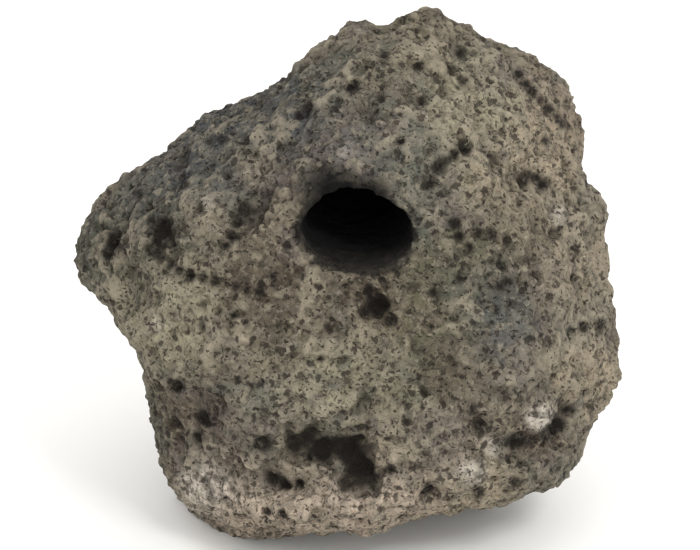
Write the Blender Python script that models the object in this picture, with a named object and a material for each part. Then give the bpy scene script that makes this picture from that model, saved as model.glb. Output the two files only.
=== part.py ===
"""An aquarium lava rock: one lump of vesicular lava with a round tunnel in its leaning front face.

The rock is one solid. It starts as a rounded lump whose outline, seen square to the front face, is
OUTLINE. Flats, ledges, lumps, grooves and hollows are pressed into it, its underside is cut level so
that it stands, and the tunnel is bored into the face. Metres, +Z up, the face towards -Y.
"""

import math
import random

import bmesh
import bpy
import numpy as np
from mathutils import Vector, noise
from mathutils.bvhtree import BVHTree

MM = 0.001
OUTSIDE = 0.3

# Driving dimensions, in metres and degrees
FACE_LEAN = math.radians(20.0)
VIEW_DISTANCE = 0.594
FRONT_DEPTH = 0.045
BACK_DEPTH = 0.055
FRONT_SQUARENESS = 3.0
BACK_SQUARENESS = 2.4
LOW_FRONT_SQUARENESS = 1.0
LOW_BACK_SQUARENESS = 2.6
FOOT_DROP = 0.0610
ROCK_TRIANGLES = 8800
SPHERE_LEVELS = 7
SMOOTHINGS = 2

TUNNEL_WIDTH = 0.0264
TUNNEL_HEIGHT = 0.0176
TUNNEL_LENGTH = 0.064
TUNNEL_ACROSS = 0.0020
TUNNEL_UP = 0.0106
TUNNEL_LEAD = 0.025
TUNNEL_DOME = 0.0080
DOME_CLOSING = 0.8
TUNNEL_RINGS = 14
DOME_RINGS = 4
TUNNEL_SIDES = 30
TUNNEL_WOBBLE = 0.0007
TUNNEL_WOBBLE_SIZE = 0.012

# The face's own directions: across it, up it and out of it
ACROSS = Vector((1.0, 0.0, 0.0))
UP_FACE = Vector((0.0, math.sin(FACE_LEAN), math.cos(FACE_LEAN)))
OUT = Vector((0.0, -math.cos(FACE_LEAN), math.sin(FACE_LEAN)))

# The outline seen square to the face, anticlockwise from the right: (across, up) in millimetres.
# These places, and those of the relief below, lie on the plane through the rock's middle, in line
# with what they stand for when the face is looked at from VIEW_DISTANCE in front of that plane.
OUTLINE = (
    (65.0, 6.0), (64.3, 17.4), (59.0, 25.8), (58.1, 37.6), (55.4, 45.7), (50.3, 54.0),
    (39.0, 59.6), (30.2, 62.9), (20.2, 65.6), (13.4, 64.4), (8.6, 62.8), (2.5, 63.7),
    (-7.0, 58.3), (-15.9, 50.6), (-23.1, 45.9), (-33.8, 42.6), (-48.3, 30.6), (-60.7, 22.0),
    (-66.5, 13.2), (-70.0, 6.0), (-68.9, -3.1), (-62.3, -10.7), (-55.4, -18.1), (-52.7, -25.1),
    (-53.0, -32.4), (-49.7, -44.3), (-46.0, -56.0), (-36.0, -64.0), (-26.5, -67.0), (-12.2, -63.8),
    (3.5, -62.8), (19.8, -59.9), (32.0, -58.5), (45.9, -55.6), (54.1, -51.1), (59.5, -43.5),
    (65.5, -34.0), (70.0, -22.5), (68.0, -10.0),
)

# Broken flats: direction as (across, up, out), distance from the middle in millimetres
FLATS = {
    "upper_left_bevel": ((-0.52, 0.62, 0.58), 49.0),
    "left_cheek": ((-0.80, -0.10, 0.58), 58.0),
    "upper_right_bevel": ((0.70, 0.45, 0.56), 57.5),
    "right_cheek": ((0.82, -0.12, 0.56), 60.0),
    "brow": ((0.08, 0.60, 0.80), 54.5),
    "lower_left_flank": ((-0.62, -0.46, 0.63), 58.0),
    "back_left": ((-0.72, 0.10, -0.68), 52.0),
    "back_right": ((0.66, -0.05, -0.75), 54.0),
    "back_top": ((-0.05, 0.72, -0.69), 50.0),
    "back_low_left": ((-0.50, -0.35, -0.79), 57.0),
    "back_low_right": ((0.48, -0.42, -0.77), 59.0),
}
FLAT_EDGE = 18.0
EDGE_HOLD = 6

# Relief of the face: name, path of (across, up) points, radius and rise in millimetres.
# A rise below zero is a hollow.
FACE_RELIEF = (
    ("knob_beside_left_pit", ((-36.5, 15.5),), 7.0, 3.0),
    ("knob_under_bevel", ((-25.5, 29.5),), 7.0, 2.4),
    ("block_right_of_tunnel", ((32.0, 24.0),), 9.0, 2.6),
    ("upper_right_swell", ((30.5, 44.5),), 16.0, 2.6),
    ("right_swell", ((52.0, 2.5),), 14.0, 2.8),
    ("lower_right_lump", ((47.0, -23.0),), 12.0, 3.4),
    ("crescent_tongue", ((48.5, -36.5),), 6.0, 3.6),
    ("low_knob", ((31.5, -51.0),), 6.0, 2.8),
    ("mid_low_block", ((20.5, -39.5),), 12.0, 2.2),
    ("left_low_swell", ((-51.0, -9.0),), 13.0, 3.0),
    ("middle_swell", ((-8.0, -24.0), (14.0, -24.0)), 14.0, 2.0),
    ("sill", ((-38.0, -55.0), (-25.0, -60.0), (-5.0, -61.0), (13.0, -59.0)), 10.0, 5.6),
    ("tunnel_lip", ((6.5, 16.0), (1.5, 17.2), (-3.5, 16.0), (-7.5, 13.5), (-9.0, 10.0)), 9.0, -10.0),
    ("left_pit", ((-48.5, 11.5), (-48.5, 7.0)), 5.0, -4.6),
    ("far_left_dip", ((-60.0, 7.0),), 8.0, -2.8),
    ("pit_right_of_knob", ((-27.0, 18.0), (-30.0, 10.0)), 4.6, -3.4),
    ("left_groove", ((-44.5, 3.5), (-40.0, -1.5), (-34.5, -1.5), (-22.5, -4.5)), 4.6, -3.2),
    ("pit_under_tunnel", ((5.5, -5.5), (6.5, -8.5)), 5.0, -4.6),
    ("brow_pit_left", ((-9.0, 42.0), (-12.5, 40.0)), 4.6, -2.8),
    ("brow_pit_middle", ((0.0, 48.5),), 4.6, -2.6),
    ("crown_pit_right", ((26.5, 57.0), (24.0, 52.5)), 4.6, -2.6),
    ("block_cleft", ((29.0, 34.0), (22.0, 28.0), (20.0, 23.5)), 4.6, -3.4),
    ("shoulder_cleft", ((43.0, 51.0), (46.5, 47.0), (51.0, 42.0), (53.5, 37.0)), 4.6, -3.0),
    ("right_pit", ((44.5, 26.0), (49.5, 22.5)), 4.8, -3.4),
    ("right_hook", ((28.5, 10.0), (35.5, 11.5)), 4.6, -2.4),
    ("right_groove", ((39.5, -2.0), (30.5, -5.0), (23.0, -4.5)), 4.4, -2.6),
    ("middle_groove", ((-8.0, -14.5), (-2.5, -12.5)), 4.2, -2.0),
    ("lower_left_dip", ((-37.5, -34.5), (-38.0, -42.0)), 9.0, -3.4),
    ("lower_left_pit", ((-22.0, -43.0),), 4.6, -4.0),
    ("low_cavity", ((-13.0, -43.0), (-6.0, -42.0), (1.0, -44.0), (3.0, -50.0)), 6.4, -6.0),
    ("low_crescent", ((-20.0, -51.0), (-12.0, -52.0)), 4.6, -4.0),
    ("lower_right_pit", ((33.0, -38.5),), 4.6, -4.0),
    ("crescent", ((39.5, -42.5), (46.5, -45.0), (53.0, -42.0), (57.0, -35.0)), 4.8, -4.4),
    ("edge_pit_middle", ((20.5, -55.5),), 4.4, -2.8),
    ("edge_pit_right", ((35.0, -56.0), (40.5, -54.0)), 4.4, -2.6),
)

# How the rise falls off towards the rim of a lump, and of a hollow, whose wall is steeper
LUMP_FALL = 2.0
HOLLOW_FALL = 1.4

# Gas hollows of the sides, the back and the top, which have no named place. The share is a
# hollow's depth over its radius. The limits are how far the surface may face the front or down.
HOLLOW_COUNT = 70
HOLLOW_SEED = 11
HOLLOW_RADIUS = (4.2, 8.5)
HOLLOW_SMALL_BIAS = 1.8
HOLLOW_STRETCH = 1.3
HOLLOW_DEPTH_SHARE = 0.6
FACE_LIMIT = 0.22
UNDERSIDE_LIMIT = 0.62

# Unevenness of the whole lump: size and rise in millimetres. EDGE_QUIET is the share that is left
# along the outline, and EDGE_BAND is how far out of the outline's plane it is calmed.
SWELLS = ((46.0, 4.6), (20.0, 2.6), (10.0, 1.1))
CLINKER_SIZE = 17.0
CLINKER_RISE = 2.2
CLINKER_GAP = 0.5
EDGE_QUIET = 0.3
EDGE_BAND = 0.5

LAVA_COLOUR = (0.155, 0.135, 0.108, 1.0)
LAVA_ROUGHNESS = 0.93


def clear_scene():
    for obj in list(bpy.data.objects):
        bpy.data.objects.remove(obj)


def lava_material():
    """Dull vesicular basalt, grey brown."""
    material = bpy.data.materials.new("lava")
    material.use_nodes = True
    shader = material.node_tree.nodes["Principled BSDF"]
    shader.inputs["Base Color"].default_value = LAVA_COLOUR
    shader.inputs["Roughness"].default_value = LAVA_ROUGHNESS
    shader.inputs["Metallic"].default_value = 0.0
    return material


def outline_radii(angles):
    """The outline's radius at each angle, on a smooth closed curve through its points."""
    ring = sorted((math.atan2(up, across), math.hypot(across, up)) for across, up in OUTLINE)
    turn = 2 * math.pi
    knots = np.array([a for a, _ in ring])
    radii = np.array([r for _, r in ring]) * MM
    knots = np.concatenate([knots[-2:] - turn, knots, knots[:3] + turn])
    radii = np.concatenate([radii[-2:], radii, radii[:3]])
    slopes = np.gradient(radii, knots)
    left = np.clip(np.searchsorted(knots, angles, side="right") - 1, 0, len(knots) - 2)
    gap = knots[left + 1] - knots[left]
    t = (angles - knots[left]) / gap
    start, end = radii[left], radii[left + 1]
    return (
        start * (1 + 2 * t) * (1 - t) ** 2
        + end * t * t * (3 - 2 * t)
        + gap * slopes[left] * t * (1 - t) ** 2
        - gap * slopes[left + 1] * t * t * (1 - t)
    )


def lump_radii(directions):
    """How far the rounded lump reaches in each (across, up, out) direction, with its flats."""
    across, up, out = directions.T
    in_face = np.hypot(across, up)
    outline = outline_radii(np.arctan2(up, across))
    low = np.clip(-up / np.maximum(in_face, 1e-6), 0, 1)
    depth = np.where(out > 0, FRONT_DEPTH, BACK_DEPTH)
    front_power = FRONT_SQUARENESS + LOW_FRONT_SQUARENESS * low
    back_power = BACK_SQUARENESS + LOW_BACK_SQUARENESS * low
    power = np.where(out > 0, front_power, back_power)
    radii = ((in_face / outline) ** power + (np.abs(out) / depth) ** power) ** (-1 / power)
    edge_directions = directions * (1, 1, 0) / np.maximum(in_face, 1e-6)[:, None]
    edge_gain = outline / within_flats(outline, edge_directions)
    return within_flats(radii, directions) * (1 + (edge_gain - 1) * in_face**EDGE_HOLD)


def within_flats(radii, directions):
    """Shortens the radii to stay inside the broken flats, with soft edges between them."""
    total = radii**-FLAT_EDGE
    for direction, distance in FLATS.values():
        normal = np.array(direction) / np.linalg.norm(direction)
        total += (np.clip(directions @ normal, 0, None) / (distance * MM)) ** FLAT_EDGE
    return total ** (-1 / FLAT_EDGE)


def unevenness(points, directions):
    """Rise of the swells and clinker blocks at each point. It is calm along the outline."""
    quiet = EDGE_QUIET + (1 - EDGE_QUIET) * np.clip(np.abs(directions[:, 2]) / EDGE_BAND, 0, 1)
    rise = np.zeros(len(points))
    for index, point in enumerate(points):
        place = Vector(point) / MM
        for size, height in SWELLS:
            rise[index] += height * noise.noise(place / size + Vector((size, size, size)))
        nearest = noise.voronoi(place / CLINKER_SIZE)[0]
        rise[index] += CLINKER_RISE * (min(nearest[1] - nearest[0], CLINKER_GAP) - CLINKER_GAP / 2)
    return rise * quiet * MM


def to_world(face_points):
    """(across, up, out) rows as world coordinates about the rock's middle."""
    return face_points @ np.array([ACROSS, UP_FACE, OUT])


def path_distances(points, path):
    """Distance of every point from a path of straight stretches."""
    if len(path) == 1:
        return np.linalg.norm(points - path[0], axis=1)
    nearest = np.full(len(points), np.inf)
    for start, end in zip(path[:-1], path[1:], strict=True):
        along = end - start
        share = np.clip((points - start) @ along / (along @ along), 0, 1)
        away = points - start - share[:, None] * along
        nearest = np.minimum(nearest, np.linalg.norm(away, axis=1))
    return nearest


def press(points, path, normal, radius, rise):
    """Raises or hollows the surface around a path, along the path's normal."""
    share = np.clip(path_distances(points, path) / radius, 0, 1)
    profile = (1 - share**2) ** (LUMP_FALL if rise > 0 else HOLLOW_FALL)
    points += np.outer(profile * rise, normal)


def surface_tree(bm, points):
    for vert, point in zip(bm.verts, points, strict=True):
        vert.co = point
    return BVHTree.FromBMesh(bm)


def seen_on_face(tree, across, up, middle):
    """Point and normal of the surface where a look at the face from VIEW_DISTANCE finds a place."""
    eye = middle + OUT * VIEW_DISTANCE
    place = middle + ACROSS * across + UP_FACE * up
    return tree.ray_cast(eye, (place - eye).normalized())[:2]


def relieve_face(bm, points):
    """Presses the named relief into the face."""
    tree = surface_tree(bm, points)
    for _name, path, radius, rise in FACE_RELIEF:
        hits = [seen_on_face(tree, across * MM, up * MM, Vector()) for across, up in path]
        places = np.array([hit[0] for hit in hits])
        normal = sum((hit[1] for hit in hits), Vector()).normalized()
        press(points, places, np.array(normal), radius * MM, rise * MM)


def random_direction(dice):
    return Vector([dice.gauss(0, 1) for _ in range(3)]).normalized()


def scatter_hollows(bm, points):
    """Presses gas hollows of mixed size into all but the face and the underside."""
    tree = surface_tree(bm, points)
    dice = random.Random(HOLLOW_SEED)
    small, large = HOLLOW_RADIUS
    made = 0
    while made < HOLLOW_COUNT:
        direction = random_direction(dice)
        radius = small * (large / small) ** (dice.random() ** HOLLOW_SMALL_BIAS) * MM
        stretch = dice.uniform(0.0, HOLLOW_STRETCH) * radius
        place, normal = tree.ray_cast(direction * OUTSIDE, -direction)[:2]
        side = normal.cross(random_direction(dice)).normalized()
        if normal.dot(OUT) > FACE_LIMIT or direction.z < -UNDERSIDE_LIMIT:
            continue
        path = np.array([place - side * stretch / 2, place + side * stretch / 2])
        press(points, path, np.array(normal), radius, -HOLLOW_DEPTH_SHARE * radius)
        made += 1


def rock_mesh():
    """The lump as a fine mesh about its middle, before it is thinned out and cut."""
    bm = bmesh.new()
    bmesh.ops.create_icosphere(bm, subdivisions=SPHERE_LEVELS, radius=1.0)
    directions = np.array([vert.co.normalized() for vert in bm.verts])
    points = to_world(directions * lump_radii(directions)[:, None])
    rays = to_world(directions)
    points += rays * unevenness(points, directions)[:, None]
    relieve_face(bm, points)
    scatter_hollows(bm, points)
    surface_tree(bm, points)
    axes = {"use_axis_x": True, "use_axis_y": True, "use_axis_z": True}
    for _ in range(SMOOTHINGS):
        bmesh.ops.smooth_vert(bm, verts=bm.verts, factor=0.5, **axes)
    bmesh.ops.recalc_face_normals(bm, faces=bm.faces)
    mesh = bpy.data.meshes.new("rock_fine")
    bm.to_mesh(mesh)
    bm.free()
    return mesh


def thinned(mesh):
    """The same rock with fewer triangles, kept where the surface bends."""
    helper = bpy.data.objects.new("rock_fine", mesh)
    bpy.context.scene.collection.objects.link(helper)
    decimate = helper.modifiers.new("thin", "DECIMATE")
    decimate.ratio = ROCK_TRIANGLES / len(mesh.polygons)
    graph = bpy.context.evaluated_depsgraph_get()
    result = bpy.data.meshes.new_from_object(helper.evaluated_get(graph))
    bpy.data.objects.remove(helper)
    return result


def cut_underside(bm):
    """Cuts the rock off level below and closes the cut with a flat foot."""
    cut = bmesh.ops.bisect_plane(
        bm,
        geom=bm.verts[:] + bm.edges[:] + bm.faces[:],
        plane_co=(0.0, 0.0, -FOOT_DROP),
        plane_no=(0.0, 0.0, -1.0),
        clear_outer=True,
    )
    rim = [item for item in cut["geom_cut"] if isinstance(item, bmesh.types.BMEdge)]
    bmesh.ops.contextual_create(bm, geom=rim)
    bmesh.ops.triangulate(bm, faces=bm.faces)
    bmesh.ops.recalc_face_normals(bm, faces=bm.faces)


def stand_on_ground(bm):
    """Moves the rock so that its foot is at height 0, below the middle of its box. Gives the shift."""
    corners = np.array([vert.co for vert in bm.verts])
    low, high = corners.min(axis=0), corners.max(axis=0)
    shift = Vector((-(low[0] + high[0]) / 2, -(low[1] + high[1]) / 2, FOOT_DROP))
    bmesh.ops.translate(bm, verts=bm.verts, vec=shift)
    return shift


def tunnel_ring(bm, mouth, depth):
    """One uneven ring of the tunnel's wall, so far back from its mouth. It closes in at the end."""
    past_dome = max(0.0, depth - (TUNNEL_LENGTH - TUNNEL_DOME)) / TUNNEL_DOME
    closing = math.sqrt(1 - DOME_CLOSING * past_dome**2)
    ring = []
    for side in range(TUNNEL_SIDES):
        angle = 2 * math.pi * side / TUNNEL_SIDES
        around = Vector((math.cos(angle), depth / TUNNEL_WOBBLE_SIZE, math.sin(angle)))
        wobble = TUNNEL_WOBBLE * noise.noise(around)
        across = (TUNNEL_WIDTH / 2 + wobble) * closing * math.cos(angle)
        up = (TUNNEL_HEIGHT / 2 + wobble) * closing * math.sin(angle)
        ring.append(bm.verts.new(mouth + Vector((across, depth, up))))
    return ring


def tunnel_cutter(mouth):
    """A round blind tunnel running level into the rock, with an uneven wall and a domed end."""
    straight = np.linspace(-TUNNEL_LEAD, TUNNEL_LENGTH - TUNNEL_DOME, TUNNEL_RINGS)
    dome = np.linspace(TUNNEL_LENGTH - TUNNEL_DOME, TUNNEL_LENGTH, DOME_RINGS)[1:]
    bm = bmesh.new()
    rings = [tunnel_ring(bm, mouth, depth) for depth in (*straight, *dome)]
    for near, far in zip(rings[:-1], rings[1:], strict=True):
        for side in range(TUNNEL_SIDES):
            after = (side + 1) % TUNNEL_SIDES
            bm.faces.new((near[side], near[after], far[after], far[side]))
    bm.faces.new(rings[0])
    bm.faces.new(rings[-1])
    bmesh.ops.triangulate(bm, faces=bm.faces)
    bmesh.ops.recalc_face_normals(bm, faces=bm.faces)
    mesh = bpy.data.meshes.new("tunnel_cutter")
    bm.to_mesh(mesh)
    bm.free()
    cutter = bpy.data.objects.new("tunnel_cutter", mesh)
    cutter.hide_render = True
    cutter.display_type = "WIRE"
    bpy.context.scene.collection.objects.link(cutter)
    return cutter


def build_rock():
    mesh = thinned(rock_mesh())
    bm = bmesh.new()
    bm.from_mesh(mesh)
    cut_underside(bm)
    shift = stand_on_ground(bm)
    mouth = seen_on_face(BVHTree.FromBMesh(bm), TUNNEL_ACROSS, TUNNEL_UP, shift)[0]
    cutter = tunnel_cutter(mouth)
    bm.to_mesh(mesh)
    bm.free()
    mesh.name = "lava_rock"
    mesh.shade_smooth()
    mesh.materials.append(lava_material())
    rock = bpy.data.objects.new("lava_rock", mesh)
    bpy.context.scene.collection.objects.link(rock)
    bore = rock.modifiers.new("tunnel", "BOOLEAN")
    bore.operation = "DIFFERENCE"
    bore.object = cutter
    return rock


clear_scene()
build_rock()
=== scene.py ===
# %% [markdown]
# Aquarium lava rock
#
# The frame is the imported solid: one lump of lava that stands on a broken foot, with an oval blind
# tunnel in its leaning face. This lesson gives that lump the surface of real scoria. The frame is
# loaded first, because all that follows starts from its shape. Both sources of chance get a fixed
# seed. One of them, the vector noise, would otherwise be seeded by the clock, and the rock would come
# out a little different each time.

# %% Load the frame
import math
import random

import bmesh
import bpy
import numpy as np
from mathutils import Matrix, Vector, noise
from mathutils.bvhtree import BVHTree
from mathutils.kdtree import KDTree


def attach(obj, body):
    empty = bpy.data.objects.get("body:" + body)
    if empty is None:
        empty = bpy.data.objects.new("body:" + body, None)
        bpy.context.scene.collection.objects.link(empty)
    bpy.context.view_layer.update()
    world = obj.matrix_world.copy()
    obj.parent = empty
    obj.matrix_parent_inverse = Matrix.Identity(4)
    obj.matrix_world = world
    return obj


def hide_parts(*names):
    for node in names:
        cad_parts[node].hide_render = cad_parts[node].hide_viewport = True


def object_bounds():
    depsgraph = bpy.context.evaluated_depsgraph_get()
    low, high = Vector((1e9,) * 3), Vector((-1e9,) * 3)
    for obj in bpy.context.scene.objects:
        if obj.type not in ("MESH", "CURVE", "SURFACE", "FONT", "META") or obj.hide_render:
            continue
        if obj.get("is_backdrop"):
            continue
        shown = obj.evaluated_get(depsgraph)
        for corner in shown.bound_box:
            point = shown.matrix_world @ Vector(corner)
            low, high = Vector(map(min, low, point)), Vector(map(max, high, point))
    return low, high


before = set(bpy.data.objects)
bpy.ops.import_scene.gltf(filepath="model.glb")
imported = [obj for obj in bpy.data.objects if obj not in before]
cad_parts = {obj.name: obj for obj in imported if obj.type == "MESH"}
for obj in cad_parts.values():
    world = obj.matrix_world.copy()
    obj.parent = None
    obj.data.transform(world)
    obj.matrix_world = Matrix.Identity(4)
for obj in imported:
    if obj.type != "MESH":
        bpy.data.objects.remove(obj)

MM = 0.001
SEED = 5
ROCK = "lava_rock"
CAD_BOX = [list(corner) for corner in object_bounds()]
noise.seed_set(SEED)
print("solid in millimetres", [round((high - low) / MM, 1) for low, high in zip(*CAD_BOX)])

# %% [markdown]
# The face and its directions
#
# The face leans back, and most of what matters lies on it. So places on it are given the way one
# would measure them with a ruler held in front of it: so far across and so far up from the rock's
# middle, in millimetres. The look goes through the ruler's plane from the viewing distance, which
# is also where the camera will stand.

# %% Directions of the face
FACE_LEAN = math.radians(20.0)
VIEW_DISTANCE = 0.594
ROCK_MIDDLE = Vector((0.0001, 0.0012, 0.0610))
ACROSS = Vector((1.0, 0.0, 0.0))
UP_FACE = Vector((0.0, math.sin(FACE_LEAN), math.cos(FACE_LEAN)))
OUT = Vector((0.0, -math.cos(FACE_LEAN), math.sin(FACE_LEAN)))
EYE = ROCK_MIDDLE + OUT * VIEW_DISTANCE


def look_through(across, up):
    """Direction of the look through one place of the ruler's plane."""
    return (ROCK_MIDDLE + (ACROSS * across + UP_FACE * up) * MM - EYE).normalized()


def ruler_places(points):
    """Where each point is seen on the ruler's plane: rows of (across, up)."""
    away = points - np.array(EYE)
    scale = VIEW_DISTANCE / -(away @ np.array(OUT)) / MM
    return np.stack([away @ np.array(ACROSS) * scale, away @ np.array(UP_FACE) * scale], axis=1)


print("the eye stands", round(EYE.z / MM), "mm above the floor")

# %% [markdown]
# A skin of even, small faces
#
# The solid has few, large triangles. Real lava has no facets of that size, so a copy of the solid
# is merged, rounded by subdivision and then remeshed into an even net, which is what sculptors call
# a voxel remesh. An even net takes dents of any size, wherever they fall.

# %% Copy and round
MERGE_DISTANCE = 0.01 * MM


def with_modifier(mesh, kind, **settings):
    """A new mesh: the given one after one modifier. The helper object is thrown away."""
    helper = bpy.data.objects.new("helper", mesh)
    bpy.context.scene.collection.objects.link(helper)
    modifier = helper.modifiers.new(kind.lower(), kind)
    for name, value in settings.items():
        setattr(modifier, name, value)
    graph = bpy.context.evaluated_depsgraph_get()
    result = bpy.data.meshes.new_from_object(helper.evaluated_get(graph))
    bpy.data.objects.remove(helper)
    return result


def even_net(mesh, voxel):
    """The mesh's surface again, as a closed net of faces about one voxel wide."""
    return with_modifier(mesh, "REMESH", mode="VOXEL", voxel_size=voxel)


def merged_copy(node_name):
    """A copy of a node's mesh whose doubled corner points are one point each."""
    bm = bmesh.new()
    bm.from_mesh(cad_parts[node_name].data)
    bmesh.ops.remove_doubles(bm, verts=bm.verts, dist=MERGE_DISTANCE)
    mesh = bpy.data.meshes.new("rock_copy")
    bm.to_mesh(mesh)
    bm.free()
    return mesh


def vectors_of(mesh, what):
    """Rows of x, y, z: "co" of the vertices or "vector" of their normals."""
    source = mesh.vertices if what == "co" else mesh.vertex_normals
    flat = np.empty(len(mesh.vertices) * 3, np.float32)
    source.foreach_get(what, flat)
    return flat.reshape(-1, 3).astype(np.float64)


def move_points(mesh, points):
    mesh.vertices.foreach_set("co", points.astype(np.float32).ravel())
    mesh.update()


def tree_of(mesh):
    bm = bmesh.new()
    bm.from_mesh(mesh)
    tree = BVHTree.FromBMesh(bm)
    bm.free()
    return tree


rounded = with_modifier(merged_copy(ROCK), "SUBSURF", levels=2, render_levels=2)
print("rounded copy of", len(rounded.polygons), "faces")

# %% [markdown]
# The lip of the tunnel
#
# The tunnel's mouth opens as a soft funnel at its upper left, smooth, and darkened by painted shade.
# Pushing the points of a skin about can't shape it, because the rock between the face and the
# tunnel's roof is a thin wedge there, and it would end as a torn sheet. A Boolean takes the wedge
# away cleanly. So a few balls are cut from the copy, and only then does it get its even net. How far
# a point belongs to the funnel is worked out by one function, which the relief, the holes and the
# colour all ask.

# %% Widen the lip and remesh
MOUTH = Vector((1.9 * MM, -38.8 * MM, 86.0 * MM))
# Balls, given as (across, up, radius)
LIP_BALLS = ((-4.0, 22.0, 7.5), (-9.0, 17.5, 5.0), (3.5, 20.5, 4.0))
BALL_LIFT = 0.4
# Soft round patches that make up the funnel, given as (across, up, radius)
FUNNEL = ((-5.0, 20.3, 8.4), (5.0, 19.2, 6.9))
SKIN_VOXEL = 0.6 * MM


def patch_shares(points, patches, spread=1.0):
    """How far each point belongs to round patches on the ruler: 1 in a middle, 0 well outside."""
    places = ruler_places(points)
    shares = np.zeros(len(points))
    for across, up, radius in patches:
        away = (places - (across, up)) / (radius * spread)
        shares = np.maximum(shares, np.exp(-((away**2).sum(axis=1) ** 2)))
    return shares


def funnel_shares(points):
    """How far each point of the rock's front half belongs to the funnel."""
    return patch_shares(points, FUNNEL) * (points[:, 1] < 0)


def on_mouth_plane(across, up):
    """Where the look through a place of the ruler meets the plane of the tunnel's mouth."""
    look = look_through(across, up)
    return EYE + look * ((MOUTH - EYE).dot(OUT) / look.dot(OUT))


def ball(middle, radius):
    bm = bmesh.new()
    bmesh.ops.create_icosphere(bm, subdivisions=4, radius=radius, matrix=Matrix.Translation(middle))
    mesh = bpy.data.meshes.new("ball")
    bm.to_mesh(mesh)
    bm.free()
    return bpy.data.objects.new("ball", mesh)


def in_fixed_order(mesh):
    """The same mesh with its points and faces in one order, because a Boolean's order can vary."""
    points = vectors_of(mesh, "co")
    order = np.lexsort(points.T)
    new_index = np.argsort(order).tolist()
    faces = []
    for polygon in mesh.polygons:
        corners = [new_index[index] for index in polygon.vertices]
        start = corners.index(min(corners))
        faces.append(corners[start:] + corners[:start])
    ordered = bpy.data.meshes.new("ordered")
    ordered.from_pydata(points[order].tolist(), [], sorted(faces))
    return ordered


def widened(mesh):
    """The mesh without the balls that stand in its lip."""
    for across, up, radius in LIP_BALLS:
        middle = on_mouth_plane(across, up) + OUT * radius * BALL_LIFT * MM
        cutter = ball(middle, radius * MM)
        bpy.context.scene.collection.objects.link(cutter)
        cut = with_modifier(mesh, "BOOLEAN", object=cutter, operation="DIFFERENCE", solver="EXACT")
        mesh = in_fixed_order(cut)
        bpy.data.objects.remove(cutter)
    return mesh


skin = even_net(widened(rounded), SKIN_VOXEL)
plain_tree = tree_of(skin)
print("skin of", len(skin.polygons), "faces")

# %% [markdown]
# Clinker relief
#
# Lava foam breaks through its bubbles, so its skin is made of shallow bowls with sharp crests
# between them. Cell noise makes just that: the nearer a point is to the middle of its cell, the
# deeper it lies. Ridged noise adds the grit. The places are first pulled about a little, so that no
# bowl is round, and some parts of the rock are rougher than others. The highest crests are worn
# down, as handling and water do it. The relief fades out on the foot, which stays flat so that the
# rock stands still.

# %% Roughen the skin
BOWLS = ((9.0, 1.5), (4.4, 1.2), (2.4, 0.8))
BOWL_EDGE = 0.75
GRIT = ((3.0, 0.4), (1.5, 0.35))
PULL = (5.0, 2.6)
ROUGH_PATCH = 14.0
ROUGH_SHARE = (0.4, 1.3)
CREST_SHARE = 66
WORN_ABOVE = 0.6
WORN_KEPT = 0.35
FOOT_FADE = (0.1 * MM, 2.5 * MM)
TUNNEL_HALF = (13.2 * MM, 8.9 * MM)
TUNNEL_END = 25.2 * MM
TUNNEL_CALM = 0.35
CALM_MARGIN = 0.3 * MM


def smooth_step(values, low, high):
    share = np.clip((values - low) / (high - low), 0, 1)
    return share * share * (3 - 2 * share)


def tunnel_wall(points, margin):
    """Which points lie on the tunnel's wall or end, or within a margin of it."""
    across = (points[:, 0] - MOUTH.x) / (TUNNEL_HALF[0] + margin)
    up = (points[:, 2] - MOUTH.z) / (TUNNEL_HALF[1] + margin)
    return (np.hypot(across, up) < 1) & (points[:, 1] < TUNNEL_END + margin)


def clinker_rise(point):
    """Rise of one point in millimetres, before the crests are levelled with the solid."""
    place = Vector(point) / MM
    pulled = place + noise.noise_vector(place / PULL[0]) * PULL[1]
    rise = 0.0
    for spacing, depth in BOWLS:
        nearest = noise.voronoi(pulled / spacing)[0][0]
        rise += depth * min(nearest / BOWL_EDGE, 1) ** 2
    for size, height in GRIT:
        rise -= height * 2 * abs(noise.noise(place / size))
    low, high = ROUGH_SHARE
    return rise * (low + (high - low) * (0.5 + noise.noise(place / ROUGH_PATCH)))


def clinker_rises(points):
    rises = np.array([clinker_rise(point) for point in points])
    rises -= np.percentile(rises, CREST_SHARE)
    rises = np.where(rises > WORN_ABOVE, WORN_ABOVE + (rises - WORN_ABOVE) * WORN_KEPT, rises)
    rises *= smooth_step(points[:, 2], *FOOT_FADE)
    calm = np.maximum(funnel_shares(points), tunnel_wall(points, CALM_MARGIN))
    return rises * (1 - (1 - TUNNEL_CALM) * calm)


points = vectors_of(skin, "co")
rises = clinker_rises(points)
points += vectors_of(skin, "vector") * (rises * MM)[:, None]
move_points(skin, points)
print("clinker relief from", rises.min().round(2), "to", rises.max().round(2), "mm")
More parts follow.
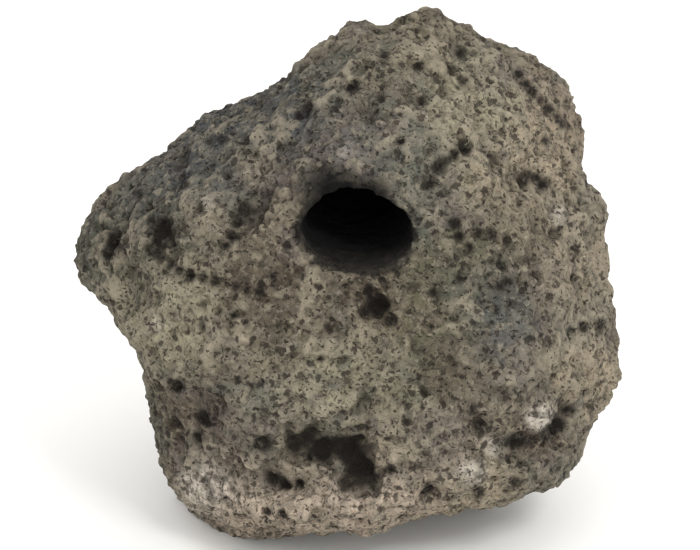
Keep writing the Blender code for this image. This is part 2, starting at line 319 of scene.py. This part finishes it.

# %% [markdown]
# Gas holes
#
# Where the rock breaks, the smaller bubbles are left as holes with sharp rims, each of them part of
# a sphere. So a hole is carved as a sphere: any point of the skin inside the sphere moves down onto
# its far side. The holes that give this face its look are listed one by one, each as (across, up,
# radius) in millimetres.

# %% The face's own holes
FACE_HOLES = {
    "left hollow": (
        (-47.8, 12.0, 2.6), (-48.4, 8.6, 1.9), (-48.9, 5.9, 1.6), (-59.6, 8.4, 2.6), (-61.6, 5.4, 1.6),
        (-50.3, 13.6, 1.3), (-45.6, 10.2, 1.2),
    ),
    "left knob": (
        (-27.0, 16.8, 1.8), (-28.6, 13.4, 1.3), (-29.8, 9.7, 1.6), (-31.4, 7.4, 1.1), (-42.2, 23.2, 1.1),
        (-53.7, 20.6, 1.3), (-32.6, 34.6, 1.1), (-20.4, 20.8, 1.0),
    ),
    "left groove": (
        (-50.9, 6.4, 1.3), (-48.2, 4.4, 1.2), (-45.8, 2.8, 1.2), (-43.4, 1.2, 1.1), (-40.7, 0.0, 1.5),
        (-37.4, -0.8, 1.1), (-34.6, -1.3, 1.2), (-29.0, -2.8, 1.0), (-26.0, -3.8, 1.0), (-23.2, -4.3, 1.2),
        (-19.3, -0.8, 1.0), (-29.8, -10.4, 0.9), (-26.4, -12.0, 0.8),
    ),
    "under the tunnel": (
        (7.1, -8.1, 2.6), (5.1, -3.8, 1.6), (10.4, -11.5, 1.5), (-5.3, -13.7, 1.0), (-7.6, -21.4, 0.9),
        (3.6, -9.8, 1.2), (6.0, -6.0, 1.6),
    ),
    "crown": (
        (-10.7, 42.2, 1.6), (-13.0, 40.4, 1.1), (0.5, 47.8, 1.6), (8.7, 55.7, 1.1), (17.6, 53.2, 1.2),
        (18.1, 44.0, 1.2), (8.1, 45.0, 1.0), (28.2, 56.5, 1.4), (25.7, 52.2, 1.2), (28.8, 49.4, 1.1),
        (12.7, 34.1, 1.0),
    ),
    "right shoulder": (
        (43.0, 50.9, 1.3), (44.8, 48.6, 1.1), (46.3, 46.6, 1.3), (48.6, 44.4, 1.0), (50.6, 42.2, 1.3),
        (52.6, 40.2, 1.0), (54.0, 38.4, 1.1), (49.6, 34.1, 1.0), (49.1, 23.2, 1.6), (47.0, 24.6, 1.2),
        (45.0, 25.4, 1.4),
    ),
    "beside the tunnel": (
        (29.0, 32.6, 1.8), (26.6, 30.6, 1.2), (22.4, 27.5, 1.8), (20.1, 23.7, 1.6), (24.4, 29.2, 1.1),
    ),
    "right middle": (
        (26.7, 13.0, 1.4), (27.7, 9.7, 1.4), (32.6, 10.7, 1.3), (35.9, 10.7, 1.3), (30.0, 6.9, 1.3),
        (40.2, -1.8, 1.4), (38.0, -3.0, 1.1), (28.2, -0.8, 1.3), (21.4, -4.3, 1.3), (26.7, -10.9, 0.9),
        (37.2, -8.7, 1.1), (59.3, -13.2, 1.2), (63.6, -12.5, 1.2),
    ),
    "lower right": (
        (39.2, -31.0, 1.1), (31.0, -33.8, 1.1), (32.8, -38.2, 1.6), (41.0, -42.5, 1.5), (43.2, -42.6, 1.3),
        (45.3, -42.2, 1.5), (47.4, -41.8, 1.3), (49.6, -41.0, 1.7), (51.4, -39.6, 1.3), (52.9, -37.9, 1.5),
        (55.5, -34.4, 1.4),
    ),
    "low cavity": (
        (-22.1, -43.0, 2.0), (-14.0, -43.3, 2.0), (-11.2, -42.0, 2.1), (-9.0, -43.6, 1.8), (-6.9, -44.5, 2.6),
        (-3.4, -43.6, 2.1), (0.0, -44.8, 2.6), (1.8, -47.0, 2.0), (2.8, -49.1, 2.4), (-0.5, -52.7, 1.9),
    ),
    "lower left": (
        (-19.6, -51.7, 1.4), (-16.3, -53.4, 1.4), (-12.5, -52.7, 1.4), (-43.8, -28.5, 1.6),
        (-36.9, -36.4, 1.9), (-38.4, -41.0, 1.5), (-22.7, -27.7, 1.0), (-28.8, -26.7, 0.9),
    ),
    "lower edge": (
        (10.4, -49.6, 1.3), (20.1, -54.0, 1.4), (32.6, -55.5, 1.4), (42.0, -52.9, 1.4), (-17.3, -60.8, 1.1),
        (-21.1, -60.3, 0.9),
    ),
}
OWN_LIFT = -0.15
OWN_STRETCH = 1.25


def flat_direction(normal, dice):
    """A random direction along the surface."""
    return normal.cross(Vector([dice.gauss(0, 1) for _ in range(3)])).normalized()


def face_holes(dice, places):
    """(middle, outward, radius, direction and amount of stretch) of holes placed on the face."""
    found = []
    for across, up, radius in places:
        place, normal = plain_tree.ray_cast(EYE, look_through(across, up))[:2]
        outward = (normal + OUT).normalized()
        middle = place + outward * radius * OWN_LIFT * MM
        found.append((middle, outward, radius * MM, flat_direction(outward, dice), OWN_STRETCH))
    return found


dice = random.Random(SEED)
own_places = [place for group in FACE_HOLES.values() for place in group]
own_holes = face_holes(dice, own_places)
print(len(own_holes), "holes placed by hand")

# %% [markdown]
# Scattered holes
#
# The rest of the rock is full of holes too, many small and few large, as in any foam, and some are
# drawn out by the flow. Their places come from a seeded die, so the rock is the same every time. On
# the face they stay small, because its large ones are already placed.

# %% Scatter the rest
# Name: (count, smallest and largest radius in millimetres, how far the surface may face the front)
SCATTER = {
    "coarse": (150, 1.8, 3.2, 0.2),
    "middling": (1100, 1.1, 1.9, 0.6),
    "fine": (3600, 0.8, 1.2, 1.01),
}
LIFTS = (-0.3, 0.55)
STRETCHES = (1.0, 2.1)
CLUSTER_SIZE = 11.0
CLUSTER_BIAS = 0.75
LIP_MARGIN = 2.6 * MM
FUNNEL_BARE = 0.4


def scattered_holes(dice, points, normals):
    """Holes drawn by the dice anywhere but in the tunnel, on its lip or in its funnel."""
    walls = tunnel_wall(points, LIP_MARGIN) | (funnel_shares(points) > FUNNEL_BARE)
    found = []
    for count, small, large, frontness in SCATTER.values():
        goal = len(found) + count
        while len(found) < goal:
            index = dice.randrange(len(points))
            place, normal = Vector(points[index]), Vector(normals[index])
            luck = dice.random()
            radius = dice.uniform(small, large) * MM
            lift, stretch = dice.uniform(*LIFTS), dice.uniform(*STRETCHES)
            side = flat_direction(normal, dice)
            crowding = 0.5 + CLUSTER_BIAS * noise.noise(place / (CLUSTER_SIZE * MM))
            if not walls[index] and normal.dot(OUT) < frontness and luck < crowding:
                found.append((place + normal * lift * radius, normal, radius, side, stretch))
    return found


holes = scattered_holes(dice, points, vectors_of(skin, "vector")) + own_holes
print(len(holes), "holes in all, the widest", round(2 * max(hole[2] for hole in holes) / MM, 1), "mm across")

# %% Carve the holes
RAGGED = (2.2, 0.55)


def carve_hole(points, wander, near, hole):
    """Moves those of the near points that lie inside the drawn-out sphere onto its far side."""
    middle, outward, radius, side, stretch = hole
    outward, side = np.array(outward), np.array(side)
    offset = points[near] + wander[near] - np.array(middle)
    offset -= np.outer(offset @ side, side) * (1 - 1 / stretch)
    height = offset @ outward
    aside = offset - np.outer(height, outward)
    half_chord = np.sqrt(np.maximum(radius**2 - (aside**2).sum(axis=1), 0))
    inside = np.abs(height) < half_chord
    points[near[inside]] -= np.outer((height + half_chord)[inside], outward)


def carve_all(points, holes):
    """Carves each hole in turn. A noise moves the points for the test, so that no rim is round."""
    size, amount = RAGGED
    wander = np.array([noise.noise_vector(Vector(point) / (size * MM)) for point in points]) * amount * MM
    finder = KDTree(len(points))
    for index, point in enumerate(points):
        finder.insert(point, index)
    finder.balance()
    for hole in holes:
        middle, _outward, radius, _side, stretch = hole
        reach = radius * stretch + amount * MM
        near = np.array([found[1] for found in finder.find_range(middle, reach)], int)
        if len(near):
            carve_hole(points, wander, near, hole)


carve_all(points, holes)
move_points(skin, points)
print("carved", len(holes), "holes")

# %% [markdown]
# An even net again
#
# Carving stretches the faces on the walls of the holes. A second, finer remesh makes the net even
# and joins holes that broke into each other, as bubbles do. Then the finest grain goes on, the net
# is thinned out where the rock is plain, and the foot is made level last, because thinning moves
# points a little.

# %% Remesh, add grain and thin out
FINE_VOXEL = 0.48 * MM
GRAIN = ((2.4, 0.45), (1.2, 0.25))
FOOT_FLAT = 0.3 * MM
MOST_TRIANGLES = 197000


def drop_crumbs(mesh):
    """Keeps only the largest connected shell of a mesh."""
    bm = bmesh.new()
    bm.from_mesh(mesh)
    unseen = set(bm.verts)
    shells = []
    while unseen:
        edge_of_search = [unseen.pop()]
        shell = list(edge_of_search)
        while edge_of_search:
            vert = edge_of_search.pop()
            found = {edge.other_vert(vert) for edge in vert.link_edges} & unseen
            unseen -= found
            edge_of_search.extend(found)
            shell.extend(found)
        shells.append(shell)
    shells.sort(key=len)
    crumbs = [vert for shell in shells[:-1] for vert in shell]
    bmesh.ops.delete(bm, geom=crumbs, context="VERTS")
    bm.to_mesh(mesh)
    bm.free()
    print("dropped", len(shells) - 1, "crumbs of", len(crumbs), "points")


def finished_skin(mesh):
    """The carved skin as an even net with grain on it, thinned out, in one shell on a flat foot."""
    fine = even_net(mesh, FINE_VOXEL)
    points = vectors_of(fine, "co")
    normals = vectors_of(fine, "vector")
    for size, height in GRAIN:
        rises = np.array([noise.noise(Vector(point) / (size * MM)) for point in points])
        points += normals * (rises * height * MM)[:, None]
    move_points(fine, points)
    fine.calc_loop_triangles()
    ratio = min(1.0, MOST_TRIANGLES / len(fine.loop_triangles))
    print("fine net of", len(fine.loop_triangles), "triangles, kept share", round(ratio, 2))
    thinned = with_modifier(fine, "DECIMATE", ratio=ratio)
    drop_crumbs(thinned)
    points = vectors_of(thinned, "co")
    points[points[:, 2] < FOOT_FLAT, 2] = 0.0
    move_points(thinned, points)
    return thinned


rock_mesh = finished_skin(skin)
rock_mesh.calc_loop_triangles()
print("rock of", len(rock_mesh.loop_triangles), "triangles")

# %% [markdown]
# What the stone's colour needs to know
#
# Some things change a rock's colour in ways that no noise can guess: how deep a point lies in a
# hole, whether it is on a knob or in a groove, and how far it lies in the tunnel or its funnel. Holes
# and grooves take dirt and painted shade from these, knobs take wear, and the tunnel and its funnel
# take painted shade. Each is measured once per vertex and stored as an attribute, which the
# material then reads.

# %% Measure relief, form and tunnel depth
FORM_VOXEL = 1.6 * MM
FORM_SMOOTHING = 90
WALL_SHADE = 0.75
WALL_SPREAD = 1.8 * MM
FUNNEL_SHADE = 0.96
# How far in, in millimetres, the lip takes its shade and daylight reaches along floor and roof
LIP_DEPTH = 1.2
FLOOR_DAYLIGHT = 16.0
ROOF_DAYLIGHT = 4.0
# Where between the tunnel's middle (0) and its lowest line (1) the wall turns into the floor
FLOOR_STARTS = (0.2, 1.0)


def store(mesh, name, values, kind="FLOAT"):
    layer = mesh.attributes.new(name, kind, "POINT")
    field = "value" if kind == "FLOAT" else "color"
    layer.data.foreach_set(field, values.astype(np.float32).ravel())


def heights_over(tree, points):
    """Signed distance of each point from a surface, in millimetres: negative is inside it."""
    heights = np.empty(len(points))
    for index, point in enumerate(points):
        place, normal, _face, distance = tree.find_nearest(point)
        heights[index] = math.copysign(distance, (Vector(point) - place).dot(normal))
    return heights / MM


# Painted shade: dark at the lip, darker inward where daylight fails, and dark over the funnel.
def tunnel_shares(points):
    """0 outside the tunnel and its funnel, more at the lip, and 1 where daylight never reaches."""
    level = (points[:, 2] - MOUTH.z) / TUNNEL_HALF[1]
    depth = points[:, 1] / MM - MOUTH.y / MM - level * TUNNEL_HALF[1] / MM * math.tan(FACE_LEAN)
    daylight = ROOF_DAYLIGHT + (FLOOR_DAYLIGHT - ROOF_DAYLIGHT) * smooth_step(-level, *FLOOR_STARTS)
    lip = WALL_SHADE * smooth_step(depth, 0.0, LIP_DEPTH)
    share = lip + (1 - WALL_SHADE) * np.clip(depth / daylight, 0, 1)
    return np.maximum(share * tunnel_wall(points, WALL_SPREAD), FUNNEL_SHADE * funnel_shares(points))


coarse = even_net(rounded, FORM_VOXEL)
melted = with_modifier(coarse, "SMOOTH", factor=1.0, iterations=FORM_SMOOTHING)
points = vectors_of(rock_mesh, "co")
relief = heights_over(plain_tree, points)
form = heights_over(tree_of(melted), points)
store(rock_mesh, "relief", relief)
store(rock_mesh, "form", form)
store(rock_mesh, "tunnel", tunnel_shares(points))
print("relief", np.percentile(relief, (1, 25, 50, 75, 99)).round(2), "mm")
print("form", np.percentile(form, (1, 25, 50, 75, 99)).round(2), "mm")

# %% [markdown]
# Stains
#
# Iron, algae and lime leave soft blotches on a rock that has stood in water, and most blotches here
# are such stains. Others are painted light and shade: bright ones on the sill, where the ledge would
# catch the light, dark ones in the left hollows and the low cavity, and grey ones on the upper left
# side, partly painted shade where it turns away from the light. Each blotch has a place, a radius, a
# strength and a colour. They were chosen and then adjusted until the broad tones of the face came out
# right. Where two overlap they blend. Colours are written as the hex values one sees on screen. One
# function turns them to the linear values that a renderer counts in.

# %% Colours and blotches
def linear(hex_colour):
    """Linear red, green and blue of a hex colour as seen on screen."""
    parts = [int(hex_colour[start : start + 2], 16) / 255 for start in (1, 3, 5)]
    return [part / 12.92 if part <= 0.04045 else ((part + 0.055) / 1.055) ** 2.4 for part in parts]


OLIVE = "#54523F"
DARK_OLIVE = "#33342A"
SLATE = "#4C5052"
DARK_SLATE = "#3A3D3E"
MAUVE = "#5F5656"
RUST = "#4A3326"
SAND = "#8A7E69"
LIME = "#807B65"
PINK_SAND = "#958573"
UMBER = "#4B4237"
BRIGHT_SAND = "#A0937D"
BRIGHT_LIME = "#979079"
# Used only for painted light on the sill.
PAINTED_LIGHT_PINK = "#B3A391"
PALE = "#D2C9BC"

# Name: (across, up, radius, strength, colour), in millimetres on the face
STAINS = {
    # Painted shade: these two dark blotches darken the left hollows.
    "shade of the left hollow": (-48.0, 10.0, 10.0, 0.9, DARK_OLIVE),
    "far left": (-61.0, 6.0, 10.0, 0.8, DARK_OLIVE),
    # Partly grey stone, partly painted shade where the upper left side turns away from the light.
    "upper left bevel": (-41.0, 28.0, 14.0, 0.8, SLATE),
    "upper left rim": (-27.0, 42.0, 11.0, 2.2, DARK_SLATE),
    "rim over the knob": (-15.0, 42.0, 9.0, 0.8, SLATE),
    "above the tunnel": (-2.0, 32.0, 11.0, 0.55, MAUVE),
    "upper right rim": (53.0, 44.0, 12.0, 0.6, PINK_SAND),
    "crown": (14.0, 58.0, 14.0, 0.35, LIME),
    "right of the tunnel": (28.0, 6.0, 11.0, 0.9, OLIVE),
    "right middle": (38.0, -9.0, 11.0, 0.7, SLATE),
    "under the right middle": (41.0, -25.0, 8.0, 0.5, SLATE),
    "band left under the tunnel": (-24.0, -6.0, 10.0, 1.9, UMBER),
    "band under the tunnel": (-7.0, -8.0, 10.0, 1.9, UMBER),
    "band right under the tunnel": (19.0, -8.0, 10.0, 1.5, OLIVE),
    "under the tunnel": (7.0, -8.0, 6.0, 0.9, RUST),
    "lower right crack": (49.0, -41.0, 6.5, 0.8, RUST),
    # Painted shade: the low cavity darkens under its overhang.
    "low cavity": (-5.0, -46.0, 9.5, 0.4, DARK_OLIVE),
    "lower left": (-40.0, -37.0, 9.0, 0.5, RUST),
    "left of the sill": (-51.0, -34.0, 7.0, 0.4, OLIVE),
    "bright left": (-47.0, -9.0, 13.0, 1.8, BRIGHT_LIME),
    "bright shoulder": (31.0, 43.0, 12.0, 1.2, BRIGHT_LIME),
    "bright upper right": (47.0, 28.0, 12.0, 1.0, BRIGHT_SAND),
    "bright right": (60.0, 3.0, 12.0, 0.9, BRIGHT_SAND),
    "bright block": (32.0, 23.0, 6.0, 0.7, SAND),
    "bright knob": (-37.0, 15.0, 5.5, 1.0, BRIGHT_SAND),
    "upper knob": (-25.5, 29.3, 5.0, 0.9, BRIGHT_SAND),
    "middle": (-8.0, -27.0, 14.0, 0.9, BRIGHT_LIME),
    "lower middle": (14.0, -31.0, 13.0, 0.8, LIME),
    "right of the low cavity": (23.0, -44.0, 8.0, 1.2, MAUVE),
    # Painted light: the sill and its right end are brightened where the ledge would catch the light.
    "sill": (-30.0, -58.0, 10.0, 2.0, PAINTED_LIGHT_PINK),
    "middle of the sill": (-8.0, -60.0, 10.0, 1.6, PAINTED_LIGHT_PINK),
    "sill's right end": (10.0, -58.0, 10.0, 2.2, PAINTED_LIGHT_PINK),
    "right end of the low cavity": (10.0, -43.0, 6.5, 1.2, BRIGHT_SAND),
    "lower right edge": (33.0, -55.0, 12.0, 1.4, BRIGHT_SAND),
    "right edge": (63.0, -27.0, 11.0, 1.2, BRIGHT_SAND),
    "lower right lump": (52.0, -24.0, 8.0, 0.6, SAND),
    "pale fleck in the crack": (48.9, -36.6, 2.6, 4.0, PALE),
    "pale fleck low right": (31.0, -50.6, 2.4, 4.0, PALE),
    "pale fleck beside it": (35.9, -44.0, 1.7, 2.5, PALE),
    "pale fleck right": (53.2, 15.0, 1.7, 2.0, PALE),
    "pale fleck left": (-49.9, -12.5, 1.8, 1.2, PALE),
    # Painted light: this large pale fleck brightens the shaded edge of the sill.
    "pale fleck on the sill": (-36.5, -55.0, 5.5, 2.4, PALE),
    "pale fleck over the tunnel": (-2.0, 31.0, 2.4, 0.3, PALE),
    "pale fleck on the knob": (-36.8, 18.0, 1.8, 1.0, PALE),
}
STAIN_WANDER = 0.35
WANDER_SIZE = 8 * MM
MOST_STAIN = 0.95
PIT_SPREAD = 1.3
# How far the surface has to face the front for a stain, or the dirt and painted shade of a hole, to show:
# none, all
STAIN_FACING = (-0.3, 0.4)
PIT_FACING = (-0.9, -0.3)


def pit_shares(points, normals):
    """How much dirt and painted shade lie at each point in and around the holes listed on the face."""
    facing = smooth_step(normals @ np.array(OUT), *PIT_FACING)
    return patch_shares(points, own_places, PIT_SPREAD) * facing


def stained(points, normals):
    """Stain colour of each point, and how much of it shows."""
    wander = np.array([noise.noise_vector(Vector(point) / WANDER_SIZE) for point in points])[:, :2]
    places = ruler_places(points)
    facing = smooth_step(normals @ np.array(OUT), *STAIN_FACING)
    shares = np.zeros(len(points))
    colours = np.zeros((len(points), 3))
    for across, up, radius, strength, colour in STAINS.values():
        away = (places - (across, up)) / radius + wander * STAIN_WANDER
        share = strength * np.exp(-(away**2).sum(axis=1)) * facing
        shares += share
        colours += share[:, None] * np.array(linear(colour))
    colours /= np.maximum(shares, 1e-6)[:, None]
    return colours, np.clip(shares, 0, MOST_STAIN)


normals = vectors_of(rock_mesh, "vector")
stain_colours, stain_shares = stained(points, normals)
store(rock_mesh, "stain", np.pad(stain_colours, ((0, 0), (0, 1)), constant_values=1), "FLOAT_COLOR")
store(rock_mesh, "stain_share", stain_shares)
store(rock_mesh, "pit", pit_shares(points, normals))
print(len(STAINS), "blotches, which cover", stain_shares.mean().round(2), "of the rock")

# %% [markdown]
# Scoria
#
# The stone is basalt foam: dark glass and fine crystals, weathered to a grey brown. Nothing on it
# shines, so its roughness is high. Its colour is built up in coats, as a model painter would do it:
# broad patches of brown and grey first, then the stains with their painted light and shade, speckle,
# wear on the crests, dirt and painted shade in the grooves and the holes, pale crystals, and the
# painted shade of the tunnel last. What is finer than the net is bump.

# %% Helpers for the material
MIX_SHARE, MIX_UNDER, MIX_OVER, MIX_RESULT = 0, 6, 7, 2


def add_node(tree, kind, inputs=(), **settings):
    """Adds a node. An input's value is a socket to link, a hex colour or a plain value."""
    node = tree.nodes.new(kind)
    for name, value in settings.items():
        setattr(node, name, value)
    for name, value in dict(inputs).items():
        if isinstance(value, bpy.types.NodeSocket):
            tree.links.new(value, node.inputs[name])
        elif isinstance(value, str):
            node.inputs[name].default_value = (*linear(value), 1)
        else:
            node.inputs[name].default_value = value
    return node


def share_of(tree, value, low, high):
    """Share that rises smoothly from 0 at low to 1 at high, or falls where low is the larger."""
    turned = {"Value": value, "From Min": low, "From Max": high}
    return add_node(tree, "ShaderNodeMapRange", turned, interpolation_type="SMOOTHSTEP").outputs[0]


def worked_out(tree, operation, *values):
    """The values joined one after another by one operation, such as MULTIPLY or ADD."""
    result = values[0]
    for value in values[1:]:
        result = add_node(tree, "ShaderNodeMath", {0: result, 1: value}, operation=operation).outputs[0]
    return result


def patches(tree, place, size, low, high, strength=1.0, detail=3.0):
    """Share of a noise with patches about one size across, in millimetres, times a strength."""
    pattern = {"Vector": place, "Scale": 1 / (size * MM), "Detail": detail, "Roughness": 0.6}
    share = share_of(tree, add_node(tree, "ShaderNodeTexNoise", pattern).outputs[0], low, high)
    return worked_out(tree, "MULTIPLY", share, strength)


def pores(tree, place, spacing, widest):
    """Share of pores of every width up to the widest, in spacings, one to a cell at most."""
    pattern = add_node(tree, "ShaderNodeTexVoronoi", {"Vector": place, "Scale": 1 / (spacing * MM)})
    luck = worked_out(tree, "MAXIMUM", pattern.outputs["Color"], 0.05)
    size = worked_out(tree, "DIVIDE", pattern.outputs["Distance"], luck)
    return share_of(tree, size, widest, widest * 0.55)


def coated(tree, colour, coats):
    """Lays coats over a colour, each given as (share, colour)."""
    for share, over in coats:
        layers = {MIX_SHARE: share, MIX_UNDER: colour, MIX_OVER: over}
        colour = add_node(tree, "ShaderNodeMix", layers, data_type="RGBA").outputs[MIX_RESULT]
    return colour


print("helpers ready")

# %% Weathered scoria
WARM_GREY = "#655C4E"
COOL_GREY = "#5C5C53"
MAUVE_GREY = "#5F5753"
BLEACHED = "#8B8271"
# Dark brown for random speckle, and for the grooves, where it is partly painted shade.
SOOT_AND_GROOVE_SHADE = "#2A251E"
# Near black in the holes: partly dirt, partly painted shade of their insides.
PIT_DIRT_AND_SHADE = "#17110C"
WORN_CREST = "#968C79"
# Near black, for the painted shade in the tunnel and its funnel.
CRYSTAL = "#CFC7B8"
TUNNEL_PAINTED_SHADE = "#070605"
PULL_SIZE = 1.5
PULL_AMOUNT = 2.6
COARSE_PORES = (2.6, 0.55)
FINE_PORES = (1.2, 0.50)
# The real grain is crystals of a tenth of a millimetre. It is drawn coarser here so that it shows.
GRAIN_SIZE = 1.1
GRAIN_DEPTH = 1.3
PORE_DEPTH = 0.7
BUMP_DEPTH = 0.8 * MM


def pulled_about(tree, place):
    """The place, moved a millimetre or two to one side, so that patterns of round cells look torn."""
    pattern = {"Vector": place, "Scale": 1 / (PULL_SIZE * MM), "Detail": 2.0}
    push = add_node(tree, "ShaderNodeTexNoise", pattern).outputs["Color"]
    amount = (PULL_AMOUNT * MM,) * 3
    return add_node(
        tree, "ShaderNodeVectorMath", {0: push, 1: amount, 2: place}, operation="MULTIPLY_ADD"
    ).outputs[0]


def scoria_coats(tree, place, torn, known):
    """The coats of colour, from the broadest patches to single crystals."""
    ragged = patches(tree, place, 4.5, 0.2, 0.6)
    clods = patches(tree, torn, 1.8, 0.22, 0.50, 0.95)
    flecks = patches(tree, torn, 0.9, 0.70, 0.76)
    crests = worked_out(tree, "MULTIPLY", share_of(tree, known["relief"], -0.2, 1.2), 0.7)
    # Deep in the holes the colour darkens: partly dirt, partly painted shade.
    hollows = worked_out(tree, "MULTIPLY", share_of(tree, known["relief"], -1.0, -3.4), 0.75)
    return (
        (patches(tree, place, 30.0, 0.42, 0.58), COOL_GREY),
        (patches(tree, place, 13.0, 0.50, 0.62, 0.8), MAUVE_GREY),
        (worked_out(tree, "MULTIPLY", known["stain_share"], ragged), known["stain"]),
        (patches(tree, torn, 6.0, 0.46, 0.72, 0.55), BLEACHED),
        (patches(tree, torn, 3.4, 0.48, 0.70, 0.8), SOOT_AND_GROOVE_SHADE),
        (patches(tree, torn, 1.9, 0.50, 0.70, 0.7), BLEACHED),
        (patches(tree, torn, 1.2, 0.50, 0.68, 0.7), SOOT_AND_GROOVE_SHADE),
        (crests, WORN_CREST),
        # Grooves of the large form darken: partly dirt, partly painted shade.
        (share_of(tree, known["form"], 0.0, -4.0), SOOT_AND_GROOVE_SHADE),
        # Pores, deep hollows and the listed holes darken next: partly dirt, partly painted shade.
        (worked_out(tree, "MULTIPLY", known["pores"], 0.75), PIT_DIRT_AND_SHADE),
        (hollows, PIT_DIRT_AND_SHADE),
        (worked_out(tree, "MULTIPLY", known["pit"], clods), PIT_DIRT_AND_SHADE),
        (worked_out(tree, "MULTIPLY", flecks, patches(tree, place, 9.0, 0.5, 0.6, 0.6)), CRYSTAL),
        # Painted shade of the tunnel and its funnel, laid on last.
        (known["tunnel"], TUNNEL_PAINTED_SHADE),
    )


def scoria():
    """Weathered basalt foam: matt and grey brown, dark in its holes and pale on its crests."""
    material = bpy.data.materials.new("weathered_scoria")
    material.use_nodes = True
    tree = material.node_tree
    shader = tree.nodes["Principled BSDF"]
    shader.inputs["Roughness"].default_value = 0.93
    shader.inputs["Specular IOR Level"].default_value = 0.25
    place = add_node(tree, "ShaderNodeTexCoord").outputs["Object"]
    torn = pulled_about(tree, place)
    known = {}
    for name in ("relief", "form", "tunnel", "stain_share", "pit"):
        known[name] = add_node(tree, "ShaderNodeAttribute", attribute_name=name).outputs["Fac"]
    known["stain"] = add_node(tree, "ShaderNodeAttribute", attribute_name="stain").outputs["Color"]
    known["pores"] = worked_out(
        tree, "MAXIMUM", pores(tree, torn, *COARSE_PORES), pores(tree, torn, *FINE_PORES)
    )
    colour = coated(tree, WARM_GREY, scoria_coats(tree, place, torn, known))
    tree.links.new(colour, shader.inputs["Base Color"])

    grain = {"Vector": torn, "Scale": 1 / (GRAIN_SIZE * MM), "Detail": 4.0, "Roughness": 0.7}
    grain_noise = add_node(tree, "ShaderNodeTexNoise", grain).outputs[0]
    grain_height = worked_out(tree, "MULTIPLY", grain_noise, GRAIN_DEPTH)
    pore_depth = worked_out(tree, "MULTIPLY", known["pores"], PORE_DEPTH)
    height = worked_out(tree, "SUBTRACT", grain_height, pore_depth)
    bump = {"Height": height, "Distance": BUMP_DEPTH, "Strength": 1.0}
    tree.links.new(add_node(tree, "ShaderNodeBump", bump).outputs[0], shader.inputs["Normal"])
    return material


rock = bpy.data.objects.new("weathered_rock", rock_mesh)
bpy.context.scene.collection.objects.link(rock)
rock_mesh.materials.clear()
rock_mesh.materials.append(scoria())
rock_mesh.shade_smooth()
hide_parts(ROCK)
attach(rock, "root")
print("stone of", len(rock_mesh.materials[0].node_tree.nodes), "nodes")

# %% [markdown]
# Studio
#
# A small object is photographed on a pale table under soft light, with white walls that send light
# back into its shadows. The main light hangs in front and to the right, high enough that the tunnel
# stays dark. A wide, low reflector in front keeps the sill over the table from going grey.

# %% Floor, light and camera
FLOOR_REACH = 3.0
FLOOR_WHITE = "#F4F3F0"
WALL_LIGHT = 1.25
# Name: (watts, place, size in metres)
LIGHTS = {
    "softbox": (5.5, Vector((0.5, -0.75, 0.95)), 0.35),
    "reflector": (3.5, Vector((0.15, -1.05, 0.12)), 0.6),
}
CAMERA_LENS = 120
CAMERA_SENSOR = 36


def make_floor():
    bm = bmesh.new()
    bmesh.ops.create_grid(bm, x_segments=2, y_segments=2, size=FLOOR_REACH)
    mesh = bpy.data.meshes.new("table")
    bm.to_mesh(mesh)
    bm.free()
    floor = bpy.data.objects.new("table", mesh)
    bpy.context.scene.collection.objects.link(floor)
    paper = bpy.data.materials.new("matt_white_paper")
    paper.use_nodes = True
    shader = paper.node_tree.nodes["Principled BSDF"]
    shader.inputs["Base Color"].default_value = (*linear(FLOOR_WHITE), 1)
    shader.inputs["Roughness"].default_value = 0.9
    mesh.materials.append(paper)
    floor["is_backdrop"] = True


def make_light():
    world = bpy.data.worlds.new("white_walls")
    world.use_nodes = True
    world.node_tree.nodes["Background"].inputs["Color"].default_value = (1, 1, 1, 1)
    world.node_tree.nodes["Background"].inputs["Strength"].default_value = WALL_LIGHT
    bpy.context.scene.world = world
    for name, (watts, place, size) in LIGHTS.items():
        data = bpy.data.lights.new(name, "AREA")
        data.energy = watts
        data.size = size
        lamp = bpy.data.objects.new(name, data)
        lamp.location = place
        lamp.rotation_euler = (place - ROCK_MIDDLE).to_track_quat("Z", "Y").to_euler()
        bpy.context.scene.collection.objects.link(lamp)


def make_camera():
    data = bpy.data.cameras.new("camera")
    data.lens = CAMERA_LENS
    data.sensor_width = CAMERA_SENSOR
    camera = bpy.data.objects.new("camera", data)
    turned = Matrix((ACROSS, UP_FACE, OUT)).transposed().to_4x4()
    camera.matrix_world = Matrix.Translation(EYE) @ turned
    bpy.context.scene.collection.objects.link(camera)
    bpy.context.scene.camera = camera


make_floor()
make_light()
make_camera()
bpy.context.scene.view_settings.view_transform = "Standard"
print("studio set up")

# %% [markdown]
# Size
#
# The dressed rock has to stay the size of the solid that stands for it in a simulation. Both boxes
# are written down so that they can be compared.

# %% Print the sizes and finish
bpy.context.view_layer.update()
sizes = {"cad": CAD_BOX, "visual": [list(corner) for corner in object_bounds()]}
for name, (low, high) in sizes.items():
    print(name, "box in millimetres", [round(x / MM, 1) for x in low], [round(x / MM, 1) for x in high])
